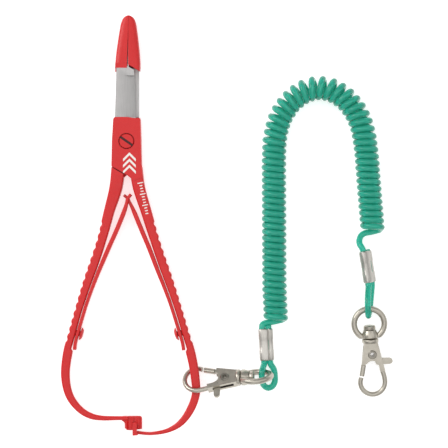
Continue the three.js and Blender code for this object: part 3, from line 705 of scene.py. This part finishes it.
def jaw_collar(name, hand):
    """The coated stretch between the blade's band and the jaw, on the blade's own level."""
    edge, top = -BLADE_HALF - 0.15, JAW_ROOT - JAW_STEP + 1.5
    outline = [(edge, BLADE_TOP), (-SEAM_ROOT, BLADE_TOP), (-SEAM_ROOT, top), (edge, top)]
    return prism(name, [nose(hand, o, y) for o, y in outline], *lap_levels(hand))


def spring_screw_frame(hand, rows):
    """Where a leaf spring's screw enters the handle, with Y along the screw."""
    inward = station_at(rows, SPRING_SCREW_Y)[1]
    at = beside(hand, rows, SPRING_SCREW_Y, 0)
    turn = math.atan2(-hand * inward.x, inward.y)
    return Matrix.Translation(Vector((at.x, at.y, MID))) @ Matrix.Rotation(turn, 4, "Z")


def half(name, hand, rows):
    """One half's jaw and its coated grip; its blade and collar are made apart."""
    body = jaw(name, hand)
    lap_side = (MID, BOX + 2) if hand > 0 else (-2, MID)
    below = prism("cut", [(-20, 0), (20, 0), (20, BLADE_TOP), (-20, BLADE_TOP)], *lap_side)
    cut(body, below, lap_pocket("cut", hand))
    grip = cut(handle("grip", hand, rows), lap_pocket("cut", hand))
    drill = lathe("drill", [(SPRING_DRILL_R, -2.9), (SPRING_DRILL_R, 2.9)], 24)
    cut(grip, move(drill, spring_screw_frame(hand, rows)))
    union(grip, lap_plate("lap", hand))
    spin = Matrix.Rotation(math.pi / 2, 4, "X")
    cut(grip, move(lathe("hole", [(PIVOT_HOLE_R, -20), (PIVOT_HOLE_R, 20)]), spin))
    if hand > 0:
        seat = move(lathe("seat", [(SEAT_R, 0), (SEAT_R, 20)]), spin)
        cut(grip, move(seat, Matrix.Translation((0, 0, BOX - SEAT_DEEP))))
    return body, grip


# ---------------------------------------------------------------- build the halves

BLOCK_FRONT = MID + 0.2
RIDGE_FRONT = MID + 0.2 + 0.55
RIDGES, RIDGE_START, RIDGE_PITCH = 3, -0.9, 2.55


def ratchet_block(name):
    """The block at the end of the left bow, with its ridges."""
    left, right, top, foot = -1.9, 6.4, -116.8, -122.2
    outline = [(left, top), (left - 0.6, top - 1.55), (left + 0.8, top - 2.6), (-0.1, foot - 0.5),
               (1.7, foot - 0.6), (right, foot)]
    outline += [(right - 1 + math.cos(a), top - 1 + math.sin(a))
                for a in [math.radians(d) for d in range(0, 91, 15)]]
    body = prism(name, outline, BLOCK_FRONT - 2.1, BLOCK_FRONT)
    for i in range(RIDGES):
        x = RIDGE_START + i * RIDGE_PITCH
        tooth = [(x, BLOCK_FRONT - 0.2), (x + 1.9, BLOCK_FRONT - 0.2),
                 (x + 0.9, RIDGE_FRONT), (x + 0.3, RIDGE_FRONT)]
        ring = [[(u, y, z) for u, z in tooth] for y in (foot + 0.15, top - 0.25)]
        union(body, loft("ridge", ring))
    return body


def ratchet_catch(name):
    """The catch at the end of the right bow, with the tooth that meets the ridges."""
    left, wide = 2.55, 1.8
    back = RIDGE_FRONT + 0.7
    front = back + 1.5
    post = [(left, -124.3), (left + wide, -124.3), (left + wide, -119.7), (left + wide - 0.4, -119.3),
            (left + 0.4, -119.3), (left, -119.7)]
    foot = [(left, -124.75), (left + wide + 0.4, -124.6), (left + wide, -123.3), (left, -123.3)]
    middle, edge = left + wide / 2, RIDGE_FRONT + 0.3
    tooth = [(left + 0.3, back + 0.1), (left + wide - 0.3, back + 0.1),
             (middle + 0.2, edge), (middle - 0.2, edge)]
    ring = [[(u, y, z) for u, z in tooth] for y in (-123, -119.7)]
    return union(prism(name, post, back, front), prism("foot", foot, MID - 1.3, front), loft("tooth", ring))


def build_half(side, hand, rows, node, body_name):
    """One half of the pliers in three visible pieces, riding on its CAD body."""
    jaws, grip = half(f"{side}_jaw", hand, rows)
    union(jaws, jaw_collar("collar", hand))
    union(grip, ratchet_catch("catch") if hand > 0 else ratchet_block("block"))
    steel_blade = blade(f"{side}_blade", hand)
    finish_mesh(jaws, f"{side}_jaw", 0.22)
    finish_mesh(grip, f"{side}_handle", 0.16)
    finish_mesh(steel_blade, f"{side}_blade", 0.05, segments=2)
    jaws.data.materials.append(red)
    grip.data.materials.append(red_printed if hand > 0 else red)
    steel_blade.data.materials.append(blade_steel)
    for piece in (jaws, grip, steel_blade):
        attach(piece, body_name)
    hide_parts(node)


build_half("front", 1, right_handle, "front_half", "pliers_front")
build_half("rear", -1, left_handle, "rear_half", "pliers_rear")

# ---------------------------------------------------------------- leaf springs

LEAF_ROOT, LEAF_MID, LEAF_TIP = 1.35, 1.8, 1.25
TONGUE_HALF, FORK_HALF = 0.85, 1.15
LEAF_STEPS = 140
crossing = (0.4, -24.3)
right_run = [(9.1, -44.4), (6.95, -39.3), (4.85, -34.2), (2.75, -29.1), (1.2, -25.9)]
left_run = [(-9.5, -49.5), (-7.3, -44.4), (-5, -39.3), (-2.85, -34.2), (-0.9, -29.1), (0, -25.9)]


def leaf(name, hand, rows, run, tip):
    """One leaf spring: along its handle, then across to the crossing and its tip."""
    hug = [(-87.4, 0.5), (-85.6, 0.2), (-83.6, 0), (-78, 0), (-68, 0), (-60, 0.05), (-54, 0.15)]
    stops = [beside(hand, rows, y, GAP + lift + LEAF_ROOT / 2) for y, lift in hug]
    stops += [Vector((x, y, 0)) for x, y in run + [crossing, tip]]
    path = [centripetal(stops, i / LEAF_STEPS) for i in range(LEAF_STEPS + 1)]
    rings = []
    for i, p in enumerate(path):
        along = (path[min(i + 1, LEAF_STEPS)] - path[max(i - 1, 0)]).normalized()
        side = Vector((along.y, -along.x, 0))
        thick = lerp(lerp(LEAF_ROOT, LEAF_MID, smooth((p.y + 70) / 25)), LEAF_TIP, smooth((p.y + 31) / 6))
        section = rounded_section(-thick / 2, thick / 2, 2.5, 0.3, 2)
        rings.append([p + side * u + Vector((0, 0, MID + z)) for u, z in section])
    return loft(name, rings)


def tip_block(low, high):
    """What is cut from a leaf's tip between two heights."""
    return prism("cut", [(-5, -29.6), (6, -29.6), (6, -20), (-5, -20)], low, high)


right_leaf = cut(leaf("right_leaf", 1, right_handle, right_run, (-1.25, -22.8)),
                 tip_block(MID + TONGUE_HALF, 12), tip_block(-4, MID - TONGUE_HALF))
left_leaf = cut(leaf("left_leaf", -1, left_handle, left_run, (1.75, -22.5)),
                tip_block(MID - FORK_HALF, MID + FORK_HALF))
for piece, hand, rows, node, body_name in (
        (right_leaf, 1, right_handle, "right_leaf_spring", "right_leaf"),
        (left_leaf, -1, left_handle, "left_leaf_spring", "left_leaf")):
    drill = lathe("drill", [(SPRING_DRILL_R, -4), (SPRING_DRILL_R, 4)], 32)
    cut(piece, move(drill, spring_screw_frame(hand, rows)))
    finish_mesh(piece, node + "_blade", 0.08, segments=2)
    piece.data.materials.append(red)
    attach(piece, body_name)
    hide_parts(node)

# ---------------------------------------------------------------- clasps

RING_R, RING_WIRE = 7.7, 1.27
HOOK_R, HOOK_WIRE, HOOK_REACH = 5.25, 1.05, 25.2
CHEEK_HALF, GATE_SLOT_HALF, LEVER_HALF = 2.1, 0.85, 0.55
GATE_HOLE_R = 1.55
GATE_PIVOT = Matrix.Translation((0.4, -13, 0)) @ Matrix.Rotation(math.pi / 2, 4, "X")


def swivel_ring(name):
    """The ring, closed by the boss that the stud turns in."""
    turn = [Vector(((RING_R - RING_WIRE) * math.cos(a), (RING_R - RING_WIRE) * math.sin(a), 0))
            for a in [math.radians(-72 + 324 * k / 96) for k in range(97)]]
    ring = tube(name, turn, RING_WIRE, 24)
    boss = lathe("boss", [(0.001, -6.05), (3.1, -6.05), (3.4, -5.75), (3.4, -4.7), (3.2, -4.0),
                          (2.8, -3.0), (2.7, -2.7), (0.001, -2.7)])
    union(ring, boss)
    return cut(ring, lathe("room", [(2.8, -2.7), (2.8, 1.3)]), lathe("bore", [(1.5, -11), (1.5, 1)], 40),
               prism("foot", [(-10, -10), (10, -10), (10, -6.05), (-10, -6.05)], -10, 10))


def quadratic(start, control, end, steps=8):
    """Points of a quadratic curve after its start."""
    made = []
    for k in range(1, steps + 1):
        t = k / steps
        made.append(tuple((1 - t) ** 2 * a + 2 * t * (1 - t) * b + t * t * c
                          for a, b, c in zip(start, control, end)))
    return made


def hook_body(name):
    """The slotted cheeks, the swivel stud and the hook's wire, as one piece."""
    outline = [(-2.8, -7.35), (2.8, -7.35), (3.1, -8.4), (4.5, -15.5), (5.5, -20.2), (3.55, -20.6)]
    outline += quadratic((3.55, -20.6), (2.9, -15.7), (0.3, -15.7))
    outline += quadratic((0.3, -15.7), (-1.4, -15.7), (-2.2, -17))
    outline += [(-4.1, -16.6), (-2.8, -8.4)]
    cheeks = prism(name, outline, -CHEEK_HALF, CHEEK_HALF)
    slot = prism("slot", [(-10, -18.2), (10, -18.2), (10, -9.3), (-10, -9.3)],
                 -GATE_SLOT_HALF, GATE_SLOT_HALF)
    cut(cheeks, slot, move(lathe("hole", [(GATE_HOLE_R, -4), (GATE_HOLE_R, 4)], 32), GATE_PIVOT))
    stud = lathe("stud", [
        (0.001, -8.2), (3.0, -8.2), (3.3, -8.05), (3.5, -7.75), (3.5, -6.85), (3.3, -6.5), (3.0, -6.35),
        (1.2, -6.35), (1.2, -2.4), (2.4, -2.4), (2.5, -2.2), (2.5, -1.1), (2.2, -0.75), (1.6, -0.6),
        (0.001, -0.6)])
    arm = [Vector((x, y, 0)) for x, y in [(4.2, -19.4), (4.5, -20.7), (5.05, -23)]]
    bow = [Vector((HOOK_R * math.cos(a), HOOK_R * math.sin(a) - HOOK_REACH, 0))
           for a in [math.radians(-20.5 * k) for k in range(11)]]
    wire = tube("wire", even(arm + bow, 0.35), HOOK_WIRE, 22)
    return union(cheeks, stud, wire)


def strip(centre, width):
    """The outline of a band of one width along a centre line."""
    near, far = [], []
    for i, p in enumerate(centre):
        along = (centre[min(i + 1, len(centre) - 1)] - centre[max(i - 1, 0)]).normalized()
        side = Vector((along.y, -along.x, 0)) * width / 2
        near.append(p + side)
        far.insert(0, p - side)
    return [(p.x, p.y) for p in near + far]


def gate_lever(name):
    """The gate, the arm between the cheeks and the thumb tab."""
    centre = [Vector((x, y, 0)) for x, y in [(-1.95, -9.8), (-2.65, -13), (-3.45, -17.6), (-4.45, -22.2)]]
    arm = prism(name, strip(centre, 1.7), -LEVER_HALF, LEVER_HALF)
    gate = loft("gate", [[centre[2].lerp(centre[3], k) + Vector((u * 0.977, -u * 0.212, z))
                          for u, z in rounded_section(-1.05, 1.05, 1.05, 0.75, 4)] for k in (0, 1)])
    web = prism("web", [(-2.4, -11), (1, -11.2), (2.2, -14.5), (-2.9, -15)], -LEVER_HALF, LEVER_HALF)
    tab = [(0.5, -13.5), (2.2, -14.9), (7.7, -15.1)]
    tab += [(7.7 + 1.3 * math.cos(a), -16.4 + 1.3 * math.sin(a))
            for a in [math.radians(d) for d in range(75, -91, -15)]]
    tab += [(2, -17.7)]
    union(arm, gate, web, prism("tab", tab, -LEVER_HALF, LEVER_HALF))
    return cut(arm, move(lathe("hole", [(GATE_HOLE_R, -3), (GATE_HOLE_R, 3)], 32), GATE_PIVOT))


def clasp(side, loop_centre, incline, roll, heading, ring_roll):
    """One whole clasp, placed by the centre of its hook's loop and turned by four angles in degrees."""
    axes = ((heading, "Z"), (incline, "X"), (roll, "Y"))
    turn = Matrix.Identity(3)
    for degrees, axis in axes:
        turn = turn @ Matrix.Rotation(math.radians(degrees), 3, axis)
    at = Vector(loop_centre) + turn @ Vector((0, HOOK_REACH, 0))
    place = Matrix.Translation(at) @ turn.to_4x4()
    ring_place = place @ Matrix.Rotation(math.radians(ring_roll - roll), 4, "Y")
    for build, matrix, node, body_name, bevel in (
            (swivel_ring, ring_place, f"{side}_swivel_ring", f"{side}_ring", 0.12),
            (hook_body, place, f"{side}_hook_body", f"{side}_hook", 0.16),
            (gate_lever, place, f"{side}_gate_lever", f"{side}_gate", 0.12)):
        piece = move(build(node + "_piece"), matrix)
        finish_mesh(piece, node + "_piece", bevel)
        piece.data.materials.append(clasp_nickel)
        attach(piece, body_name)
        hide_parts(node)
    for node, material in ((f"{side}_gate_rivet", rivet_nickel), (f"{side}_gate_spring", spring_steel)):
        dress(node, material, 0.06)


def dress(node, material, bevel):
    """Give a CAD node its material and softened edges."""
    obj = bpy.data.objects[node]
    if obj.material_slots:
        for slot in obj.material_slots:
            slot.link = "OBJECT"
            slot.material = material
    else:
        obj.data.materials.append(material)
    modifier = obj.modifiers.new("edges", "BEVEL")
    modifier.width = bevel * MM
    modifier.segments = 2
    modifier.limit_method = "ANGLE"
    modifier.angle_limit = math.radians(35)


clasp("near", (29.8, -101.25, 4.15), 8, -35, -86.5, -77)
clasp("far", (104.7, -102.55, 1.9), 5.5, 0, 3.8, 0)

# The pivot screw's coat carries painted shade in its slot.
dress("pivot_screw", red_screw_slot_shaded, 0.12)
for node in ("right_spring_screw", "left_spring_screw"):
    dress(node, red, 0.15)

# ---------------------------------------------------------------- ferrules

FERRULE_HALF_X, FERRULE_HALF_Z = 3.1, 1.85
FERRULE_SIDES = 96
GROOVE_X, GROOVE_WIDE, GROOVE_DEPTH = 1.0, 0.32, 0.28


def ferrule(node, at, heading, roll):
    """A pressed sleeve with a groove along each face, a slightly thinner middle and rolled-in ends."""
    rings = []
    for y, grow in ((-6.8, -0.35), (-6.6, -0.12), (-6.2, 0), (-2.4, 0), (-2.1, -0.1),
                    (2.1, -0.1), (2.4, 0), (6.2, 0), (6.6, -0.12), (6.8, -0.35)):
        ring = []
        for k in range(FERRULE_SIDES):
            a = 2 * math.pi * k / FERRULE_SIDES
            x = FERRULE_HALF_X * math.copysign(abs(math.cos(a)) ** 0.8, math.cos(a))
            z = FERRULE_HALF_Z * math.copysign(abs(math.sin(a)) ** 0.55, math.sin(a))
            z *= 1 - GROOVE_DEPTH * math.exp(-((x - GROOVE_X) / GROOVE_WIDE) ** 2)
            ring.append((x * (1 + grow / FERRULE_HALF_X), y, z * (1 + grow / FERRULE_HALF_Z)))
        rings.append(ring)
    piece = loft(node + "_sleeve", rings)
    turn = Matrix.Rotation(math.radians(heading), 4, "Z") @ Matrix.Rotation(math.radians(roll), 4, "Y")
    move(piece, Matrix.Translation(at) @ turn)
    finish_mesh(piece, node + "_sleeve", 0.08, segments=2)
    piece.data.materials.append(crimp_metal)
    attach(piece, "cord")
    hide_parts(node)


ferrule("near_ferrule", (59.3, -86.5, 2), 3, 0)
ferrule("far_ferrule", (102.4, -53.3, 2.95), 8.8, 47)

# ---------------------------------------------------------------- the cord rides last

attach(cord, "cord")
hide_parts("cord_coil", "near_cord_tail", "near_cord_loop", "far_cord_tail", "far_cord_loop")

# ---------------------------------------------------------------- floor and light

FLOOR_HALF, FLOOR_LEVEL = 1.5, -0.0002
bm = bmesh.new()
bmesh.ops.create_grid(bm, x_segments=8, y_segments=8, size=FLOOR_HALF)
floor_mesh = bpy.data.meshes.new("floor")
bm.to_mesh(floor_mesh)
bm.free()
floor = bpy.data.objects.new("floor", floor_mesh)
bpy.context.scene.collection.objects.link(floor)
floor.location = (VIEW_CENTRE[0], VIEW_CENTRE[1], FLOOR_LEVEL)
floor_mesh.materials.append(paper_floor("paper"))

world = bpy.data.worlds.new("studio")
bpy.context.scene.world = world
world.use_nodes = True
world.node_tree.nodes["Background"].inputs["Color"].default_value = (1, 1, 1, 1)
world.node_tree.nodes["Background"].inputs["Strength"].default_value = 0.45


def softbox(name, place, target, size, power):
    """An area light that faces its target."""
    data = bpy.data.lights.new(name, "AREA")
    data.shape = "RECTANGLE"
    data.size, data.size_y = size
    data.energy = power
    obj = bpy.data.objects.new(name, data)
    obj.location = place
    direction = Vector(target) - Vector(place)
    obj.rotation_euler = direction.to_track_quat("-Z", "Y").to_euler()
    bpy.context.scene.collection.objects.link(obj)


centre = (VIEW_CENTRE[0], VIEW_CENTRE[1], 0)
softbox("overhead", (VIEW_CENTRE[0], VIEW_CENTRE[1], 1.1), centre, (1.2, 1.2), 4)
softbox("key", (-0.55, 0.3, 0.5), centre, (0.5, 0.5), 3)
softbox("fill", (0.6, 0.1, 0.5), centre, (0.6, 0.4), 0.6)
softbox("foot", (0.0, -0.7, 0.45), centre, (0.6, 0.3), 0.5)
